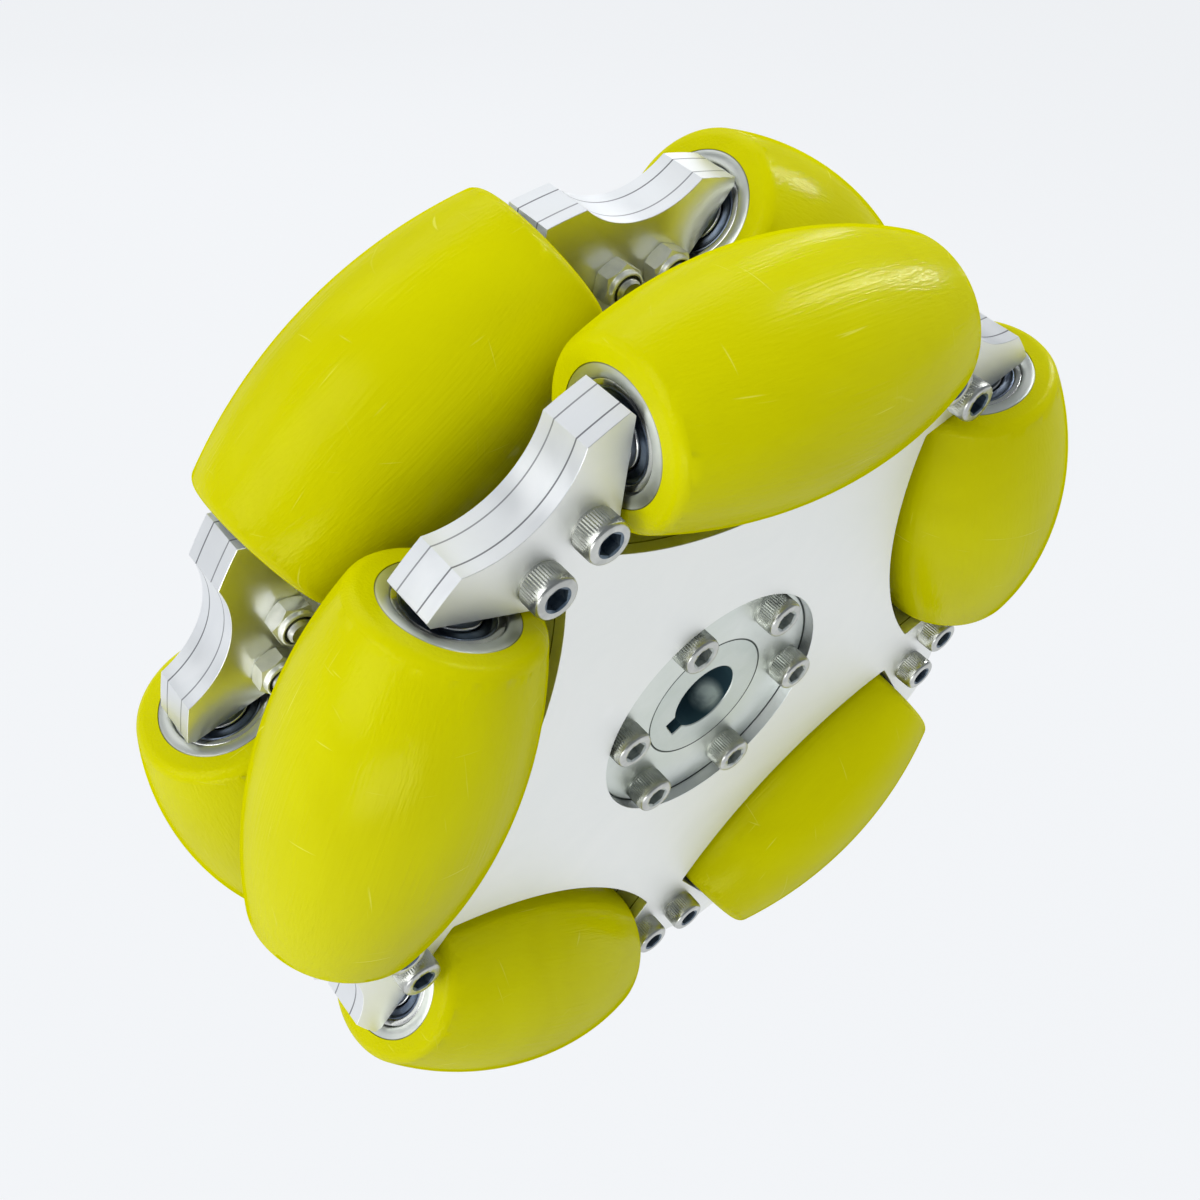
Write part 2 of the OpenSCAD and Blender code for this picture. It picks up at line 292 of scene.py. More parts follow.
# %% Fine grain
grain, g_in, g_out = new_group(
    "fine_grain",
    [("Place", "NodeSocketVector", None), ("Size", "NodeSocketFloat", 1.0)],
    [("Height", "NodeSocketFloat")])
fine = node(grain, "ShaderNodeTexNoise", {"Vector": g_in.outputs["Place"], "Scale": g_in.outputs["Size"],
                                          "Detail": 3.0, "Roughness": 0.65})
cells = node(grain, "ShaderNodeTexVoronoi", {"Vector": g_in.outputs["Place"],
                                             "Scale": maths(grain, "MULTIPLY", g_in.outputs["Size"], 1.7)})
pits = maths(grain, "MULTIPLY", cells.outputs["Distance"], 0.4)
grain.links.new(maths(grain, "ADD", fine.outputs["Fac"], pits), g_out.inputs["Height"])

# %% Hairlines: three sets of stretched noise that cross one another
hairlines, g_in, g_out = new_group(
    "hairlines",
    [("Place", "NodeSocketVector", None), ("Amount", "NodeSocketFloat", 0.5)],
    [("Mask", "NodeSocketFloat")])
threshold = maths(hairlines, "SUBTRACT", 0.80, maths(hairlines, "MULTIPLY", g_in.outputs["Amount"], 0.16))
lines = []
for turn, stretch in (((0.3, 0.2, 0.5), (1800, 60, 60)), ((1.1, 0.4, 2.1), (60, 2100, 70)),
                      ((0.2, 1.3, 0.9), (50, 90, 1700))):
    laid = node(hairlines, "ShaderNodeMapping",
                {"Vector": g_in.outputs["Place"], "Rotation": turn, "Scale": stretch})
    streak = node(hairlines, "ShaderNodeTexNoise",
                  {"Vector": laid.outputs["Vector"], "Scale": 1.0, "Detail": 1.0})
    above = maths(hairlines, "SUBTRACT", streak.outputs["Fac"], threshold)
    lines.append(ramp(hairlines, above, 0.0, 0.06))
either = maths(hairlines, "MAXIMUM", lines[0], lines[1])
hairlines.links.new(maths(hairlines, "MAXIMUM", either, lines[2]), g_out.inputs["Mask"])

# %% Smudges
smudges, g_in, g_out = new_group(
    "smudges",
    [("Place", "NodeSocketVector", None), ("Size", "NodeSocketFloat", 60.0)],
    [("Mask", "NodeSocketFloat")])
cloud = node(smudges, "ShaderNodeTexNoise", {"Vector": g_in.outputs["Place"], "Scale": g_in.outputs["Size"],
                                             "Detail": 4.0, "Roughness": 0.55, "Distortion": 0.6})
smudges.links.new(ramp(smudges, cloud.outputs["Fac"], 0.35, 0.68), g_out.inputs["Mask"])

# %% Turning lines
turning, g_in, g_out = new_group(
    "turning_lines",
    [("Radius", "NodeSocketFloat", 0.0), ("Along", "NodeSocketFloat", 0.0),
     ("Pitch", "NodeSocketFloat", 3.0)],
    [("Height", "NodeSocketFloat")])
across = node(turning, "ShaderNodeCombineXYZ", {"X": g_in.outputs["Radius"], "Y": g_in.outputs["Along"]})
rings = node(turning, "ShaderNodeTexNoise",
             {"Vector": across.outputs["Vector"], "Scale": g_in.outputs["Pitch"], "Detail": 2.0})
turning.links.new(rings.outputs["Fac"], g_out.inputs["Height"])

# %% Seam lines: dark where a reading, such as a radius or a depth, comes near a value
seam, g_in, g_out = new_group(
    "seam_line",
    [("Reading", "NodeSocketFloat", 0.0), ("At", "NodeSocketFloat", 0.0),
     ("Half width", "NodeSocketFloat", 0.0001)],
    [("Mask", "NodeSocketFloat")])
away = maths(seam, "ABSOLUTE", maths(seam, "SUBTRACT", g_in.outputs["Reading"], g_in.outputs["At"]))
share = maths(seam, "DIVIDE", away, g_in.outputs["Half width"])
seam.links.new(ramp(seam, share, 0.5, 1.0, 1.0, 0.0), g_out.inputs["Mask"])
print("shared effects:", ", ".join(g.name for g in bpy.data.node_groups))

# %% [markdown]
# ## Finishes
# Each finish starts from a Principled shader. Numbers that are the same all over stay on the shader's
# own sockets, and only what changes over the surface is linked. Patterns are laid on Object
# coordinates, so they keep their size and place, and turned parts carry their own coordinates in an
# attribute named *own_place*, with the axle along Z.

# %% Helpers for finishes
def socket_label(word):
    return word.replace("_", " ").title().replace("Ior", "IOR")


def finish(name, color, metallic=0.0, roughness=0.5, **sockets):
    """Starts a material, and returns it with its tree, its shader and its Object coordinates."""
    material = bpy.data.materials.new(name)
    material.use_nodes = True
    tree = material.node_tree
    shader = tree.nodes["Principled BSDF"]
    values = {"base_color": (*color, 1.0), "metallic": metallic, "roughness": roughness, **sockets}
    for word, value in values.items():
        shader.inputs[socket_label(word)].default_value = value
    place = node(tree, "ShaderNodeTexCoord").outputs["Object"]
    return material, tree, shader, place


def feed(tree, shader, **sources):
    """Links node outputs to the shader's sockets of the same names."""
    for word, source in sources.items():
        tree.links.new(source, shader.inputs[socket_label(word)])


def use(tree, group, **inputs):
    """Adds a shared effect and returns its output."""
    named = {word.replace("_", " "): value for word, value in inputs.items()}
    return node(tree, "ShaderNodeGroup", named, node_tree=group).outputs[0]


def tint(tree, mask, plain, marked):
    """Mixes two colours by a mask. Each is three numbers or another node's output."""
    if isinstance(plain, tuple):
        plain = (*plain, 1)
    mixed = node(tree, "ShaderNodeMix", {"Factor": mask, "A": plain, "B": (*marked, 1)}, data_type="RGBA")
    return mixed.outputs["Result"]


def relief(tree, shader, height, distance, strength, under=None):
    """Feeds a height to the shader's normal through a Bump node, over another bump if there is one."""
    inputs = {"Height": height, "Distance": distance * MM, "Strength": strength}
    if under:
        inputs["Normal"] = under
    bump = node(tree, "ShaderNodeBump", inputs).outputs["Normal"]
    feed(tree, shader, normal=bump)
    return bump


def length_of(tree, x, y):
    flat = node(tree, "ShaderNodeCombineXYZ", {"X": x, "Y": y})
    length = node(tree, "ShaderNodeVectorMath", {0: flat.outputs["Vector"]}, operation="LENGTH")
    return length.outputs["Value"]


def own_place_of(tree):
    return node(tree, "ShaderNodeAttribute", attribute_name="own_place").outputs["Vector"]


def own_radius(tree):
    """The distance from a turned part's own axis, and the distance along it, in metres."""
    split = node(tree, "ShaderNodeSeparateXYZ", {"Vector": own_place_of(tree)})
    return length_of(tree, split.outputs["X"], split.outputs["Y"]), split.outputs["Z"]


def patchy(name, color, patch, dark, light, gloss=None, skin=None, **values):
    """A finish with soft patches of two tones, and if asked a range of gloss and a grained skin.
    skin is the grain's size, its depth in millimetres and its strength."""
    made, tree, shader, place = finish(name, color, **values)
    soft = use(tree, smudges, Place=place, Size=patch)
    feed(tree, shader, base_color=tint(tree, soft, dark, light))
    if gloss:
        feed(tree, shader, roughness=ramp(tree, soft, 0, 1, *gloss))
    if skin:
        size, depth, strength = skin
        relief(tree, shader, use(tree, grain, Place=place, Size=size), depth, strength)
    return made


# %% [markdown]
# ### Cast polyurethane
# The tyres are cast in a polished mould from a lemon-yellow polyurethane. Its skin is semi-gloss,
# with slightly cloudy tones and fine flow lines along the roller, and it mirrors little towards its
# rims. Handling leaves a few pale scuffs.

# %% Yellow polyurethane
urethane, tree, shader, place = finish("yellow_urethane", (0.64, 0.61, 0.0), roughness=0.18,
                                       specular_tint=(1.0, 1.0, 0.35, 1.0))
rim = node(tree, "ShaderNodeLayerWeight", {"Blend": 0.5}).outputs["Facing"]
feed(tree, shader, specular_ior_level=ramp(tree, rim, 0.25, 0.85, 0.11, 0.0, "SMOOTHSTEP"))
cloudy = use(tree, smudges, Place=place, Size=22.0)
scuffs = use(tree, hairlines, Place=place, Amount=0.26)
tone = tint(tree, cloudy, (0.60, 0.57, 0.0), (0.67, 0.65, 0.0))
feed(tree, shader, base_color=tint(tree, maths(tree, "MULTIPLY", scuffs, 0.6), tone, (0.80, 0.78, 0.10)))
gloss = ramp(tree, use(tree, smudges, Place=place, Size=70.0), 0, 1, 0.13, 0.18)
feed(tree, shader, roughness=maths(tree, "ADD", gloss, maths(tree, "MULTIPLY", scuffs, 0.2)))
laid = node(tree, "ShaderNodeMapping", {"Vector": own_place_of(tree), "Scale": (1900, 1900, 60)})
flow = node(tree, "ShaderNodeTexNoise", {"Vector": laid.outputs["Vector"], "Scale": 1.0, "Detail": 2.5})
skin = relief(tree, shader, flow.outputs["Fac"], 0.15, 0.6)
relief(tree, shader, use(tree, grain, Place=place, Size=2600.0), 0.01, 0.5, under=skin)

# %% [markdown]
# ### Aluminium
# The outer faces of the plates are bead-blasted: nearly white and satin, with a grain far finer than a
# millimetre. The faces between the two rows kept the smoother skin of the rolled sheet. The cut walls
# are milled, with faint lines across the thickness, and dark seams show where two plates meet. The
# middle plate's face shows only inside the round recess, and it is painted duller, partly as its own
# finish and partly as the recess's shade. The roller cores and the duller hub are turned, so their
# faces carry rings, and painted shade darkens the creases of the recess and the hub.

# %% Blasted outer faces
plate_face, tree, shader, place = finish("blasted_aluminium", (0.925, 0.94, 0.92), metallic=1.0,
                                         roughness=0.52)
soft = use(tree, smudges, Place=place, Size=38.0)
marks = use(tree, hairlines, Place=place, Amount=0.25)
feed(tree, shader, base_color=tint(tree, soft, (0.905, 0.92, 0.90), (0.95, 0.96, 0.94)))
satin = ramp(tree, soft, 0, 1, 0.49, 0.55)
feed(tree, shader, roughness=maths(tree, "SUBTRACT", satin, maths(tree, "MULTIPLY", marks, 0.12)))
relief(tree, shader, use(tree, grain, Place=place, Size=3200.0), 0.012, 0.6)

# %% Rolled inner faces
inner_face, tree, shader, place = finish("rolled_aluminium", (0.93, 0.94, 0.90), metallic=1.0,
                                         roughness=0.30)
soft = use(tree, smudges, Place=place, Size=48.0)
marks = use(tree, hairlines, Place=place, Amount=0.1)
feed(tree, shader, base_color=tint(tree, soft, (0.91, 0.925, 0.88), (0.95, 0.955, 0.93)))
satin = ramp(tree, soft, 0, 1, 0.28, 0.33)
feed(tree, shader, roughness=maths(tree, "ADD", satin, maths(tree, "MULTIPLY", marks, 0.1)))
waves = node(tree, "ShaderNodeTexNoise", {"Vector": place, "Scale": 120.0, "Detail": 2.0})
relief(tree, shader, waves.outputs["Fac"], 0.02, 0.5)

# %% The dull face inside the recess, with painted shade in its two corners
# A near-black green, painted as the shade in the creases of the recess and the hub.
CREASE_SHADE = (0.045, 0.06, 0.055)
# Darker and greener than the outer faces: partly the middle plate's own duller finish, partly painted shade
# inside the recess.
recess_face, tree, shader, place = finish("dull_recess", (0.72, 0.765, 0.72), metallic=1.0, roughness=0.40)
split = node(tree, "ShaderNodeSeparateXYZ", {"Vector": place})
radius = length_of(tree, split.outputs["X"], split.outputs["Z"])
soft = use(tree, smudges, Place=place, Size=55.0)
alloy = tint(tree, soft, (0.66, 0.71, 0.665), (0.80, 0.835, 0.80))
corner = use(tree, seam, Reading=radius, At=RECESS_R, Half_width=0.5 * MM)
foot = use(tree, seam, Reading=radius, At=SPIGOT_R, Half_width=0.35 * MM)
# Painted shade darkens the corner at the recess wall and the foot of the spigot.
feed(tree, shader, base_color=tint(tree, maths(tree, "MAXIMUM", corner, foot), alloy, CREASE_SHADE))
feed(tree, shader, roughness=ramp(tree, soft, 0, 1, 0.34, 0.46))
relief(tree, shader, use(tree, grain, Place=place, Size=2800.0), 0.012, 0.6)

# %% Milled plate walls
plate_wall, tree, shader, place = finish("milled_aluminium", (0.84, 0.86, 0.88), metallic=1.0,
                                         roughness=0.46)
laid = node(tree, "ShaderNodeMapping", {"Vector": place, "Scale": (900, 90, 900)})
passes = node(tree, "ShaderNodeTexNoise", {"Vector": laid.outputs["Vector"], "Scale": 1.0, "Detail": 2.0})
soft = use(tree, smudges, Place=place, Size=80.0)
depth = maths(tree, "ABSOLUTE", node(tree, "ShaderNodeSeparateXYZ", {"Vector": place}).outputs["Y"])
outer = use(tree, seam, Reading=depth, At=ROW_Y + MIDDLE_T / 2, Half_width=0.2 * MM)
inner = use(tree, seam, Reading=depth, At=ROW_Y - MIDDLE_T / 2, Half_width=0.2 * MM)
seams = maths(tree, "MAXIMUM", maths(tree, "MULTIPLY", outer, 0.85), maths(tree, "MULTIPLY", inner, 0.7))
alloy = tint(tree, soft, (0.81, 0.83, 0.85), (0.87, 0.885, 0.90))
feed(tree, shader, base_color=tint(tree, seams, alloy, (0.10, 0.10, 0.12)))
feed(tree, shader, roughness=ramp(tree, soft, 0, 1, 0.40, 0.48))
relief(tree, shader, passes.outputs["Fac"], 0.010, 0.5)

# %% Turned aluminium of the roller cores, with a dark line where the tyre begins
turned_alloy, tree, shader, place = finish("turned_aluminium", (0.68, 0.71, 0.69), metallic=1.0,
                                           roughness=0.38)
radius, along = own_radius(tree)
soft = use(tree, smudges, Place=place, Size=90.0)
tyre_seam = use(tree, seam, Reading=radius, At=CORE_R, Half_width=0.28 * MM)
alloy = tint(tree, soft, (0.60, 0.63, 0.585), (0.72, 0.745, 0.70))
feed(tree, shader, base_color=tint(tree, maths(tree, "MULTIPLY", tyre_seam, 0.8), alloy, (0.16, 0.16, 0.07)))
feed(tree, shader, roughness=ramp(tree, soft, 0, 1, 0.30, 0.40))
relief(tree, shader, use(tree, turning, Radius=radius, Along=along, Pitch=9000.0), 0.012, 0.5)

# %% Dull aluminium of the hub, with painted shade along its two circular seams
hub_alloy, tree, shader, place = finish("dull_aluminium", (0.64, 0.69, 0.65), metallic=1.0, roughness=0.42)
radius, along = own_radius(tree)
soft = use(tree, smudges, Place=place, Size=110.0)
spigot_crease_shade = use(tree, seam, Reading=radius, At=SPIGOT_R + 0.05 * MM, Half_width=0.22 * MM)
rim_crease_shade = use(tree, seam, Reading=radius, At=RECESS_R, Half_width=0.75 * MM)
alloy = tint(tree, soft, (0.60, 0.655, 0.615), (0.70, 0.745, 0.71))
# Painted shade darkens the spigot's seam and the hub's rim beside the recess wall.
feed(tree, shader, base_color=tint(tree, maths(tree, "MAXIMUM", spigot_crease_shade, rim_crease_shade), alloy, CREASE_SHADE))
feed(tree, shader, roughness=ramp(tree, soft, 0, 1, 0.38, 0.48))
relief(tree, shader, use(tree, turning, Radius=radius, Along=along, Pitch=7000.0), 0.012, 0.5)

# %% Bore painted a dark teal as the shade deep inside it, with one painted highlight near the front mouth
bore_wall, tree, shader, place = finish("shaded_bore", (0.07, 0.15, 0.19), metallic=0.6, roughness=0.40,
                                        specular_ior_level=0.2)
radius, along = own_radius(tree)
spot = (5.1 * MM, -6.1 * MM, ROW_Y - 0.8 * MM)
away = node(tree, "ShaderNodeVectorMath", {0: own_place_of(tree), 1: spot}, operation="DISTANCE")
glint_reach = use(tree, seam, Reading=away.outputs["Value"], At=0.0, Half_width=4.3 * MM)
uneven = ramp(tree, use(tree, smudges, Place=place, Size=180.0), 0, 1, 0.3, 1.0)
painted_glint = maths(tree, "MULTIPLY", glint_reach, uneven)
# The dark teal is painted shade. The pale, non-metallic spot is a painted highlight that also catches the
# light.
feed(tree, shader, base_color=tint(tree, painted_glint, (0.07, 0.15, 0.19), (0.80, 0.92, 0.84)))
feed(tree, shader, metallic=ramp(tree, painted_glint, 0, 1, 0.6, 0.0))
relief(tree, shader, use(tree, turning, Radius=0.0, Along=along, Pitch=6000.0), 0.02, 0.6)

# %% [markdown]
# ### Steel and nylon
# The bearings are ground steel with pressed shields, the axles are drawn bar, and the screws and nuts
# are stainless, with bright rims on the screw heads. The hub screws' sockets are painted grey as the
# shade inside them, and those of the arm screws a darker blue-black shade. The lock nuts carry rings
# of black nylon.

# %% Ground bearing steel and pressed shields
race_steel, tree, shader, place = finish("ground_steel", (0.60, 0.61, 0.60), metallic=1.0, roughness=0.22)
radius, along = own_radius(tree)
soft = use(tree, smudges, Place=place, Size=150.0)
feed(tree, shader, base_color=tint(tree, soft, (0.54, 0.55, 0.54), (0.64, 0.65, 0.64)))
relief(tree, shader, use(tree, turning, Radius=radius, Along=along, Pitch=12000.0), 0.008, 0.5)

# Painted shade: the shields get a dark blue tone for the shade they sit in, deep in the core's end.
shield_steel, tree, shader, place = finish("pressed_shield", (0.13, 0.16, 0.21), metallic=1.0,
                                           roughness=0.40)
radius, along = own_radius(tree)
soft = use(tree, smudges, Place=place, Size=180.0)
feed(tree, shader, base_color=tint(tree, soft, (0.07, 0.095, 0.14), (0.19, 0.225, 0.28)))
feed(tree, shader, roughness=ramp(tree, soft, 0, 1, 0.28, 0.42))
relief(tree, shader, use(tree, turning, Radius=radius, Along=along, Pitch=5000.0), 0.015, 0.5)

# %% Axles, screws, nuts and nylon
axle_steel = patchy("drawn_steel", (0.42, 0.42, 0.41), 140.0, (0.34, 0.34, 0.33), (0.48, 0.48, 0.46),
                    skin=(2500.0, 0.008, 0.5), metallic=1.0, roughness=0.32)
screw_steel = patchy("stainless_screw", (0.56, 0.57, 0.53), 260.0, (0.42, 0.43, 0.395), (0.72, 0.735, 0.685),
                     gloss=(0.29, 0.42), skin=(1900.0, 0.015, 0.6), metallic=1.0, roughness=0.36)
screw_top = patchy("screw_rim", (0.54, 0.55, 0.53), 300.0, (0.46, 0.47, 0.45), (0.62, 0.63, 0.60),
                   skin=(2100.0, 0.012, 0.6), metallic=1.0, roughness=0.30)
# Painted shade: grey inside the hub screws' sockets, blue-black inside those of the arm screws.
hub_socket_shade = patchy("hub_socket_shade", (0.40, 0.44, 0.42), 500.0, (0.26, 0.30, 0.30), (0.55, 0.58, 0.54),
                     metallic=0.7, roughness=0.40)
arm_socket_shade = patchy("arm_socket_shade", (0.10, 0.14, 0.19), 500.0, (0.05, 0.08, 0.12), (0.16, 0.21, 0.26),
                     metallic=0.7, roughness=0.40)
nut_steel = patchy("bright_nut", (0.84, 0.86, 0.80), 240.0, (0.76, 0.78, 0.73), (0.90, 0.91, 0.86),
                   gloss=(0.28, 0.40), skin=(1700.0, 0.010, 0.5), metallic=0.8, roughness=0.32)
nylon = patchy("black_nylon", (0.012, 0.014, 0.016), 400.0, (0.008, 0.010, 0.012), (0.022, 0.024, 0.026),
               skin=(1500.0, 0.02, 0.5), roughness=0.5)
print("finishes:", len(bpy.data.materials))

# %% [markdown]
# ## Tyres
# A row of rollers has to roll like one round wheel, so each tyre's outline is an arc about the
# wheel's own centre, not the roller's. The pen sweeps that arc from one end of the roller to the
# other, the lathe spins it about the axle, and a bevel rounds both ends as the mould does.

# %% Draw and spin a tyre
def make_tyre():
    bm = bmesh.new()
    half_angle = asin(ROLLER_HALF / WHEEL_R)
    first = start(bm, WHEEL_R * cos(half_angle) - AXIS_R, 0, -ROLLER_HALF)
    tip = arc(bm, first, (-AXIS_R, 0, 0), -2 * half_angle, 40, axis=(0, 1, 0))
    tip = line(bm, tip, CORE_R, 0, ROLLER_HALF)
    tip = line(bm, tip, CORE_R, 0, -ROLLER_HALF)
    bm.edges.new((tip, first))
    lathe(bm, 112)
    break_edges(bm, 2.45, segments=7, test=lambda edge: least_radius(edge) > CORE_R + 1 * MM)
    return bm


# %% Give turned parts their own coordinates
def keep_own_place(bm):
    own = bm.verts.layers.float_vector.new("own_place")
    for v in bm.verts:
        v[own] = v.co
    return bm


for row, k in ROLLERS:
    body = f"{row}_roller_{k}"
    tyre = copies(keep_own_place(make_tyre()), [at_roller(row, k)])
    mount(tyre, f"tyre_{row}_{k}", body, [urethane], [f"{body}_tyre"], smooth=50)

# %% [markdown]
# ## Cores and bearings
# A turned aluminium core carries the tyre and ends in a bright ring that shows inside the yellow. A
# ball bearing sits half a millimetre below that ring. Its outer ring and pressed shields turn with the
# roller, and its inner ring stays on the axle.

# %% Turn a core
def make_core():
    r, seat, bore = CORE_R / MM, SEAT_R / MM, 7.0
    end = ROLLER_HALF / MM
    floor = end - SEAT_DEPTH / MM
    bm = turned([(r, -end), (r, end), (seat, end), (seat, floor), (bore, floor),
                 (bore, -floor), (seat, -floor), (seat, -end)])
    break_edges(bm, 0.3)
    return bm


# %% Turn a bearing's outer ring and press its shields
def make_outer_ring():
    seat, land = SEAT_R / MM - 0.02, (SEAT_R - RACE_T) / MM
    width = (SEAT_DEPTH - BEARING_RECESS) / MM
    ring = turned([(seat, 0.02), (seat, width), (land, width), (land, 0.02)])
    break_edges(ring, 0.35, segments=3)
    return ring


def make_shield():
    """A pressed disc: a rolled rim in the ring's groove, a flat, and a lip beside the inner ring."""
    top = (SEAT_DEPTH - BEARING_RECESS) / MM
    rim = (SEAT_R - RACE_T) / MM
    return turned([(rim + 0.1, top - 0.9), (rim + 0.1, top - 0.35), (rim - 0.25, top - 0.22),
                   (rim - 0.55, top - 0.45), (rim - 0.75, top - 0.6), (6.6, top - 0.6), (6.3, top - 0.45),
                   (5.95, top - 0.4), (5.85, top - 0.55), (5.85, top - 0.9)])


# %% Both ends of a roller
def both_ends(z):
    outward = Matrix.Translation((0, 0, z * MM))
    return [outward, Matrix.Rotation(pi, 4, "X") @ outward]


bearing_floor = (ROLLER_HALF - SEAT_DEPTH) / MM
for row, k in ROLLERS:
    body = f"{row}_roller_{k}"
    core = copies(keep_own_place(make_core()), [at_roller(row, k)])
    mount(core, f"core_{row}_{k}", body, [turned_alloy], [f"{body}_core"])
    bearing = join(copies(make_outer_ring(), both_ends(bearing_floor)),
                   copies(make_shield(), both_ends(bearing_floor)), slot=1)
    bearing = copies(keep_own_place(bearing), [at_roller(row, k)])
    mount(bearing, f"bearing_{row}_{k}", body, [race_steel, shield_steel],
          [f"{body}_bearings"])


# %% The inner rings and the thin collars beside them stay on the axles
def at_all_ends(z):
    return [at_roller(row, k) @ end for row, k in ROLLERS for end in both_ends(z)]


bore = BEARING_BORE_R / MM
inner = turned([(bore, 0), (5.6, 0), (5.6, 6.0), (bore, 6.0)])
break_edges(inner, 0.3, segments=3)
mount(copies(keep_own_place(inner), at_all_ends(bearing_floor)), "inner_rings", "hub_and_plates",
      [race_steel], ["bearing_inner_rings"])

collar_z = (ROLLER_HALF - BEARING_RECESS) / MM + 0.05
collar = turned([(bore, 0), (5.4, 0), (5.4, 1.2), (bore, 1.2)])
break_edges(collar, 0.12, segments=1)
mount(copies(keep_own_place(collar), at_all_ends(collar_z)), "axle_collars", "hub_and_plates",
      [axle_steel], ["axle_spacers"])

for name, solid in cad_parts.items():
    if name.endswith("_axle"):
        solid.data.materials.clear()
        solid.data.materials.append(axle_steel)

# %% [markdown]
# ## Star plates
# Each row clamps its axles between three plates of one outline. Half of one arm is enough to draw it:
# from the middle of a roller's notch, along the curved floor, up the straight side of the arm, over
# the cut corner and the tip to the middle of the round scallop. Mirror and spin give the whole star.

# %% Draw half an arm
def draw_half_arm(bm):
    floor_centre = NOTCH_FLOOR + NOTCH_FLOOR_R
    corner_y = SIDE_Y - NOTCH_CORNER_R
    swing = asin(corner_y / (NOTCH_FLOOR_R - NOTCH_CORNER_R))
    corner_x = floor_centre - (NOTCH_FLOOR_R - NOTCH_CORNER_R) * cos(swing)
    tip = start(bm, NOTCH_FLOOR, 0)
    tip = arc(bm, tip, (floor_centre, 0, 0), -swing, 16)
    tip = arc(bm, tip, (corner_x, corner_y, 0), -(pi / 2 - swing), 6)
    # The corner is cut at 45 degrees, up to the circle of the arm tips.
    side_end = sqrt(STAR_R ** 2 - SIDE_Y ** 2) - CORNER_CUT
    tip = line(bm, tip, side_end, SIDE_Y)
    reach = side_end + SIDE_Y
    grow = (-reach + sqrt(reach ** 2 - 2 * (side_end ** 2 + SIDE_Y ** 2 - STAR_R ** 2))) / 2
    tip = line(bm, tip, side_end + grow, SIDE_Y + grow)
    tip_from = tip.co.xy.angle_signed(Vector((1, 0)))
    half = acos((SCALLOP_X ** 2 + STAR_R ** 2 - SCALLOP_R ** 2) / (2 * SCALLOP_X * STAR_R))
    tip = arc(bm, tip, (0, 0, 0), radians(HALF_STEP) - half - tip_from, 5)
    centre = Matrix.Rotation(radians(HALF_STEP), 3, "Z") @ Vector((SCALLOP_X, 0, 0))
    opening = asin(STAR_R * sin(half) / SCALLOP_R)
    arc(bm, tip, centre, -opening, 16)


# %% Close the star, cut the holes and give it thickness
def fill_and_extrude(bm, height):
    """Fills a flat drawing between its outlines and gives it a height along Z."""
    bmesh.ops.triangle_fill(bm, use_beauty=True, use_dissolve=False, edges=bm.edges[:], normal=(0, 0, 1))
    grown = bmesh.ops.extrude_face_region(bm, geom=bm.faces[:])["geom"]
    top = [v for v in grown if isinstance(v, bmesh.types.BMVert)]
    bmesh.ops.translate(bm, verts=top, vec=(0, 0, height))


def make_plate(thickness, holes, bare_side=None):
    """holes is a list of (radius, centre x, centre y, steps) in metres, in the plate's own plane.
    bare_side is the height of the face that no other plate covers, where sharp edges are broken."""
    bm = bmesh.new()
    draw_half_arm(bm)
    bmesh.ops.mirror(bm, geom=bm.verts[:] + bm.edges[:], matrix=Matrix(), merge_dist=0.01 * MM, axis="Y")
    bmesh.ops.rotate(bm, verts=bm.verts, cent=(0, 0, 0),
                     matrix=Matrix.Rotation(radians(FIRST_ROLLER), 3, "Z"))
    bmesh.ops.spin(bm, geom=bm.verts[:] + bm.edges[:], cent=(0, 0, 0), axis=(0, 0, 1), dvec=(0, 0, 0),
                   angle=2 * pi, steps=5, use_duplicate=True)
    bmesh.ops.remove_doubles(bm, verts=bm.verts, dist=0.02 * MM)
    for r, x, y, steps in holes:
        bmesh.ops.create_circle(bm, cap_ends=False, radius=r, segments=steps,
                                matrix=Matrix.Translation((x, y, 0)))
    fill_and_extrude(bm, thickness)
    bmesh.ops.recalc_face_normals(bm, faces=bm.faces)
    for face in bm.faces:
        face.material_index = 0 if abs(face.normal.z) > 0.9 else 1
    if bare_side is not None:
        on_bare_side = lambda edge: all(abs(v.co.z - bare_side) < 0.01 * MM for v in edge.verts)
        break_edges(bm, 0.07, segments=1, sharper_than=60, test=on_bare_side)
    return bm


# %% Angles of the arms and the hub screws, and their holes
ARM_ANGLES = [FIRST_ROLLER + HALF_STEP + STEP * k for k in range(5)]


def hub_screw_angles(row):
    shift = HUB_SCREW_PHASE - (HALF_STEP if row == "rear" else 0)
    return [shift + SIXTH_TURN * k for k in range(6)]


def screw_hole(angle, x, y=0.0):
    at = Matrix.Rotation(radians(angle), 3, "Z") @ Vector((x, y, 0))
    return SCREW_HOLE_R, at.x, at.y, 32


# %% Stack the three plates of each row
def lay(row, y, thickness):
    """Lays a plate with its top on the outer side, at depth y below the row's middle plane."""
    return row_place(row) @ Matrix.Translation((0, y + thickness, 0)) @ Matrix.Rotation(radians(90), 4, "X")


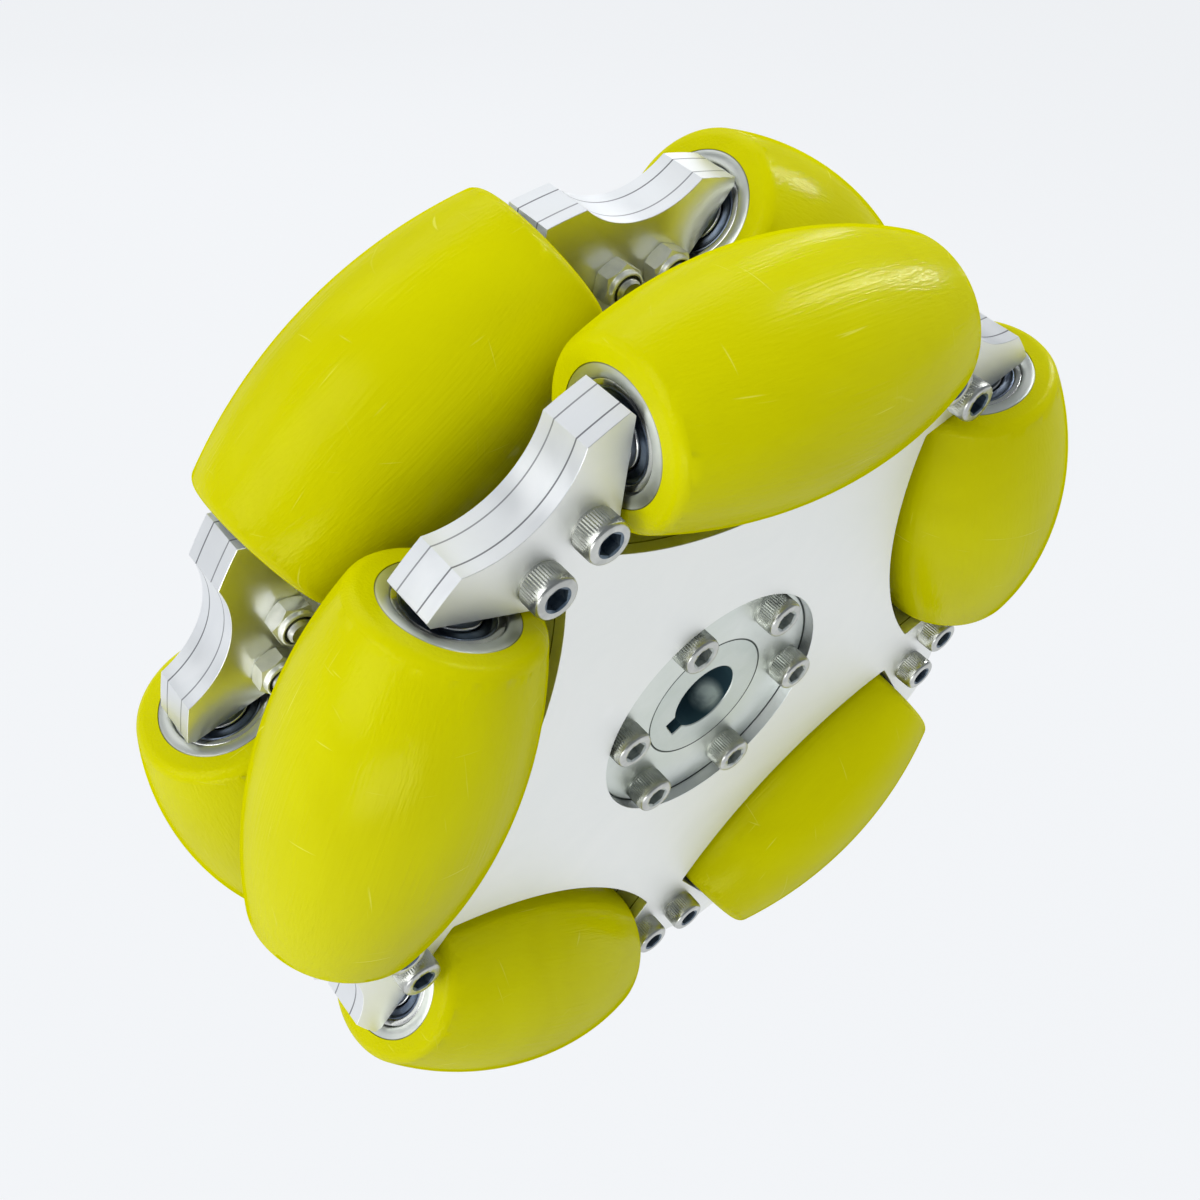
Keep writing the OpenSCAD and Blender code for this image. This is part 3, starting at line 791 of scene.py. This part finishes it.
arm_holes = [screw_hole(angle, ARM_SCREW_X, side * ARM_SCREW_Y) for angle in ARM_ANGLES for side in (-1, 1)]
wide = [(RECESS_R, 0, 0, 144)]
for row in ROWS:
    hub_holes = [screw_hole(angle, HUB_SCREW_R) for angle in hub_screw_angles(row)]
    narrow = [(SPIGOT_HOLE_R, 0, 0, 96)] + hub_holes
    layers = {"outer_star": (-SANDWICH / 2, STAR_T, wide, plate_face, STAR_T),
              "middle_star": (-MIDDLE_T / 2, MIDDLE_T, narrow, recess_face, None),
              "inner_star": (MIDDLE_T / 2, STAR_T, wide, inner_face, 0)}
    for layer, (y, thickness, middle, face, bare_side) in layers.items():
        plate = copies(make_plate(thickness, middle + arm_holes, bare_side), [lay(row, y, thickness)])
        mount(plate, f"{layer}_{row}", "hub_and_plates", [face, plate_wall],
              [f"{row}_{layer}"], smooth=25)

# %% [markdown]
# ## Hub
# The hub is turned in one piece. Its sleeve has a keyway, so it is drawn as a flat ring with a notch
# and extruded; the flanges and the barrel around it are lathe work.

# %% Draw the sleeve with its keyway
def make_sleeve():
    bm = bmesh.new()
    half_key, key_x, key_turn = 2.5 * MM, 10.3 * MM, 211
    lean = asin(half_key / BORE_R)
    tip = first = start(bm, BORE_R * cos(lean), half_key)
    tip = arc(bm, tip, (0, 0, 0), 2 * pi - 2 * lean, 88)
    tip = line(bm, tip, key_x, -half_key)
    tip = line(bm, tip, key_x, half_key)
    bm.edges.new((tip, first))
    bmesh.ops.rotate(bm, verts=bm.verts, cent=(0, 0, 0), matrix=Matrix.Rotation(radians(key_turn), 3, "Z"))
    bmesh.ops.create_circle(bm, cap_ends=False, radius=SPIGOT_R, segments=96)
    fill_and_extrude(bm, 2 * ROW_Y + MIDDLE_T)
    bmesh.ops.translate(bm, verts=bm.verts, vec=(0, 0, -ROW_Y - MIDDLE_T / 2))
    bmesh.ops.recalc_face_normals(bm, faces=bm.faces)
    inside = lambda edge: max(v.co.xy.length for v in edge.verts) < 12 * MM
    break_edges(bm, 0.2, segments=1, sharper_than=60, test=inside)
    break_edges(bm, 0.12, segments=1, sharper_than=60, test=lambda edge: not inside(edge))
    for face in bm.faces:
        in_bore = face.calc_center_median().xy.length < key_x + 0.3 * MM
        face.material_index = 1 if in_bore and abs(face.normal.z) < 0.3 else 0
    return bm


# %% Turn the flanges and the barrel, and join them to the sleeve
seat, flange, barrel, sleeve = 18.25, 28.4, 20, SPIGOT_R / MM
back = seat - 7
rim = turned([(sleeve, -seat), (flange, -seat), (flange, -back), (barrel, -back),
              (barrel, back), (flange, back), (flange, seat), (sleeve, seat)], steps=120)
break_edges(rim, 0.5, sharper_than=60, test=lambda edge: least_radius(edge) > 28 * MM)
hub = join(make_sleeve(), rim, slot=0)
hub = copies(keep_own_place(hub), [Matrix.Rotation(radians(90), 4, "X")])
mount(hub, "keyed_hub", "hub_and_plates", [hub_alloy, bore_wall], ["hub"], smooth=25)

# %% [markdown]
# ## Screws and nuts
# A cap screw's head is turned with a rounded rim, knurled on its side, and its hexagon socket is
# pressed in. The thread shows only where it leaves the lock nut, as a stack of small ridges. The lock
# nut is a hexagon whose corners are cut back by a cone, with a rolled collar over a black nylon ring.

# %% The direction of a vertex about a turned part's axis
def around_axis(v):
    return atan2(v.co.y, v.co.x) % (2 * pi)


# %% Turn, knurl and broach a cap screw
def make_screw(length):
    mouth_r, head_r, shank_r, root_r, head_h = 2.55, 4.25, 2.5, 2.2, 5.0
    thread, pitch = 6.0, 0.8
    points = [(mouth_r, head_h), (3.45, head_h), (3.8, 4.9), (4.05, 4.68), (4.15, 4.4), (4.15, 4.22),
              (head_r, 4.15), (head_r, 3.0), (head_r, 1.6), (head_r, 0.55), (4.12, 0.5), (4.12, 0.3),
              (4.2, 0.25), (4.1, 0.0), (shank_r, 0.0), (shank_r, thread - length)]
    depth = thread
    while depth > 1.1:
        points += [(shank_r, depth - length - 0.1), (root_r, depth - length - 0.5),
                   (shank_r, depth - length - 0.65)]
        depth -= pitch
    points += [(shank_r, 0.5 - length), (2.1, -length), (0.0, -length)]
    bm = turned(points, steps=96, closed=False)
    for v in bm.verts:
        if v.co.xy.length > 4.2 * MM and round(around_axis(v) / (2 * pi) * 96) % 2:
            v.co.xy *= 0.966
    bmesh.ops.create_circle(bm, cap_ends=False, radius=2.31 * MM, segments=6,
                            matrix=Matrix.Translation((0, 0, 4.8 * MM)))
    mouth = [e for e in bm.edges if e.is_boundary or not e.link_faces]
    bmesh.ops.triangle_fill(bm, use_beauty=True, use_dissolve=False, edges=mouth, normal=(0, 0, 1))
    hexagon = [e for e in bm.edges if e.is_boundary]
    for drop, scale in ((2.5, 0.99), (0.5, 0.05)):
        wall = bmesh.ops.extrude_edge_only(bm, edges=hexagon)["geom"]
        hexagon = [g for g in wall if isinstance(g, bmesh.types.BMEdge)]
        corners = [g for g in wall if isinstance(g, bmesh.types.BMVert)]
        bmesh.ops.translate(bm, verts=corners, vec=(0, 0, -drop * MM))
        bmesh.ops.scale(bm, verts=corners, vec=(scale, scale, 1))
        hexagon = [e for e in hexagon if e.is_boundary]
    bmesh.ops.contextual_create(bm, geom=hexagon)
    bmesh.ops.recalc_face_normals(bm, faces=bm.faces)
    for face in bm.faces:
        middle = face.calc_center_median()
        if middle.xy.length < 2.6 * MM and 1 * MM < middle.z < 4.99 * MM:
            face.material_index = 2
        elif middle.z > 4.2 * MM:
            face.material_index = 1
    return bm


# %% Cut a lock nut
def make_nut():
    flat_r = 4.0
    bm = turned([(2.6, 0.25), (2.85, 0.0), (3.85, 0.0), (flat_r, 0.12), (flat_r, 1.2), (flat_r, 2.4),
                 (flat_r, 3.35), (flat_r, 3.7), (3.72, 3.72), (3.7, 4.3), (3.62, 4.72), (3.42, 4.93),
                 (3.2, 4.98), (3.1, 4.9), (3.1, 3.7), (2.6, 3.7)], steps=72)
    for v in bm.verts:
        if abs(v.co.xy.length - flat_r * MM) < 0.02 * MM:
            v.co.xy *= 1 / cos(around_axis(v) % (pi / 3) - pi / 6)
            cut = (v.co.xy.length - 4.02 * MM) * tan(radians(32))
            if v.co.z > 3.5 * MM:
                v.co.z -= max(cut, 0)
            elif v.co.z < 0.2 * MM:
                v.co.z += max(cut, 0)
    bmesh.ops.recalc_face_normals(bm, faces=bm.faces)
    return bm


# %% Fit the screws, nuts and nylon rings. Every socket and nut stands at a turn of its own.
def hub_places(row):
    return [facing_out(row, angle, HUB_SCREW_R, -MIDDLE_T / 2, 0, rng.uniform(0, SIXTH_TURN))
            for angle in hub_screw_angles(row)]


def arm_places(row, y):
    return [facing_out(row, angle, ARM_SCREW_X, y, side * ARM_SCREW_Y, rng.uniform(0, SIXTH_TURN))
            for angle in ARM_ANGLES for side in (-1, 1)]


nut_places = []
flip = Matrix.Rotation(pi, 4, "X")
for row in ROWS:
    mount(copies(make_screw(12.0), hub_places(row)), f"hub_screws_{row}", "hub_and_plates",
          [screw_steel, screw_top, hub_socket_shade], [f"{row}_hub_screws"])
    mount(copies(make_screw(17.0), arm_places(row, -SANDWICH / 2)), f"arm_screws_{row}", "hub_and_plates",
          [screw_steel, screw_top, arm_socket_shade], [f"{row}_arm_screws"])
    places = [place @ flip for place in arm_places(row, SANDWICH / 2)]
    nut_places += places
    mount(copies(make_nut(), places), f"lock_nuts_{row}", "hub_and_plates",
          [nut_steel], [f"{row}_lock_nuts"], smooth=28)

ring = turned([(2.58, 3.75), (3.12, 3.75), (3.12, 4.55), (3.0, 4.75), (2.75, 4.78), (2.58, 4.65)], steps=48)
mount(copies(ring, nut_places), "nylon_rings", "hub_and_plates", [nylon], ["nut_inserts"])

# %% [markdown]
# ## Floor and light
# The wheel is shown free of the ground in a bright studio. A pale floor lies well below it, so only a
# breath of its shadow is left, and the camera sees the same pale tone all round. Large windows of
# light stand to the right, the left and behind. Three of the fills and windows light the wheel
# without showing in its mirror-like parts, and two thin tubes do the opposite: they only draw streaks.

# %% Pale floor
bm = bmesh.new()
bmesh.ops.create_grid(bm, x_segments=1, y_segments=1, size=6.0, matrix=Matrix.Translation((0, 0, -0.42)))
floor_mesh = bpy.data.meshes.new("floor")
bm.to_mesh(floor_mesh)
bm.free()
floor = bpy.data.objects.new("floor", floor_mesh)
scene.collection.objects.link(floor)

PALE = (0.888, 0.905, 0.930, 1.0)
paper = bpy.data.materials.new("pale_paper")
paper.use_nodes = True
tree = paper.node_tree
tree.nodes.clear()
matt = node(tree, "ShaderNodeBsdfDiffuse", {"Color": (0.55, 0.56, 0.57, 1.0)})
glow = node(tree, "ShaderNodeEmission", {"Color": PALE, "Strength": 1.055})
rays = node(tree, "ShaderNodeLightPath")
seen = maths(tree, "MAXIMUM", rays.outputs["Is Camera Ray"], rays.outputs["Is Glossy Ray"])
share = maths(tree, "MULTIPLY", seen, 0.88)
both = node(tree, "ShaderNodeMixShader", {0: share, 1: matt.outputs[0], 2: glow.outputs[0]})
node(tree, "ShaderNodeOutputMaterial", {"Surface": both.outputs[0]})
floor_mesh.materials.append(paper)

# %% World: dimmer in reflections than on matt surfaces, and pale to the camera
world = bpy.data.worlds.new("studio")
scene.world = world
world.use_nodes = True
tree = world.node_tree
tree.nodes.clear()
rays = node(tree, "ShaderNodeLightPath")
level = ramp(tree, rays.outputs["Is Glossy Ray"], 0, 1, 0.43, 0.28)
room = node(tree, "ShaderNodeBackground", {"Color": (0.88, 0.94, 1.0, 1), "Strength": level})
pale = node(tree, "ShaderNodeBackground", {"Color": PALE, "Strength": 0.965})
seen = rays.outputs["Is Camera Ray"]
both = node(tree, "ShaderNodeMixShader", {0: seen, 1: room.outputs[0], 2: pale.outputs[0]})
node(tree, "ShaderNodeOutputWorld", {"Surface": both.outputs[0]})


# %% Lamps
def lamp(name, azimuth, elevation, size, power, spin=0.0, distance=1.3):
    """Hangs a rectangle of light in a direction given in degrees, facing the wheel. Lengths in metres."""
    light = bpy.data.lights.new(name, "AREA")
    light.shape = "RECTANGLE"
    light.size, light.size_y = size
    light.energy = power
    az, el = radians(azimuth), radians(elevation)
    place = Vector((cos(el) * cos(az), cos(el) * sin(az), sin(el))) * distance
    facing = (-place).to_track_quat("-Z", "Y").to_matrix().to_4x4()
    made = bpy.data.objects.new(name, light)
    made.matrix_world = Matrix.Translation(place) @ facing @ Matrix.Rotation(radians(spin), 4, "Z")
    scene.collection.objects.link(made)
    return made


lamp("right window", 2, 44, (0.8, 1.0), 8.0).visible_glossy = False
lamp("left window", 180, 28, (0.8, 1.2), 9.3)
lamp("back window", 84, 47, (1.3, 0.7), 3.1)
lamp("corner window", 138, 22, (0.6, 0.4), 0.7)
lamp("front fill", -45, 10, (0.8, 0.8), 2.2).visible_glossy = False
lamp("back fill", 72, 8, (0.8, 0.6), 3.0).visible_glossy = False
lamp("low fill", -140, -8, (0.8, 0.3), 3.2)
lamp("high tube", 2, 40, (0.04, 1.0), 6.0).visible_diffuse = False
lamp("low tube", 42, 19, (0.05, 0.8), 1.0, spin=-17).visible_diffuse = False

# %% [markdown]
# ## Camera
# The camera stands close above the front left of the wheel and looks down at it, a little tilted. Its
# directions follow from an azimuth, an elevation and a roll.

# %% Camera
camera_data = bpy.data.cameras.new("camera")
camera_data.sensor_width = 36.0
camera_data.lens = 39.08
camera_data.clip_start = 0.01
camera = bpy.data.objects.new("camera", camera_data)
azimuth, elevation, roll = radians(-44.79), radians(43.485), radians(8.925)
right = Vector((cos(azimuth), sin(azimuth), 0))
back = Vector((sin(azimuth) * cos(elevation), -cos(azimuth) * cos(elevation), sin(elevation)))
upward = back.cross(right)
axes = Matrix((right, upward, back)).transposed() @ Matrix.Rotation(roll, 3, "Z")
camera.matrix_world = Matrix.Translation(Vector((-148.73, -138.42, 199.30)) * MM) @ axes.to_4x4()
scene.collection.objects.link(camera)
scene.camera = camera
scene.view_settings.view_transform = "Standard"
print("camera right", tuple(round(c, 4) for c in camera.matrix_world.col[0][:3]))
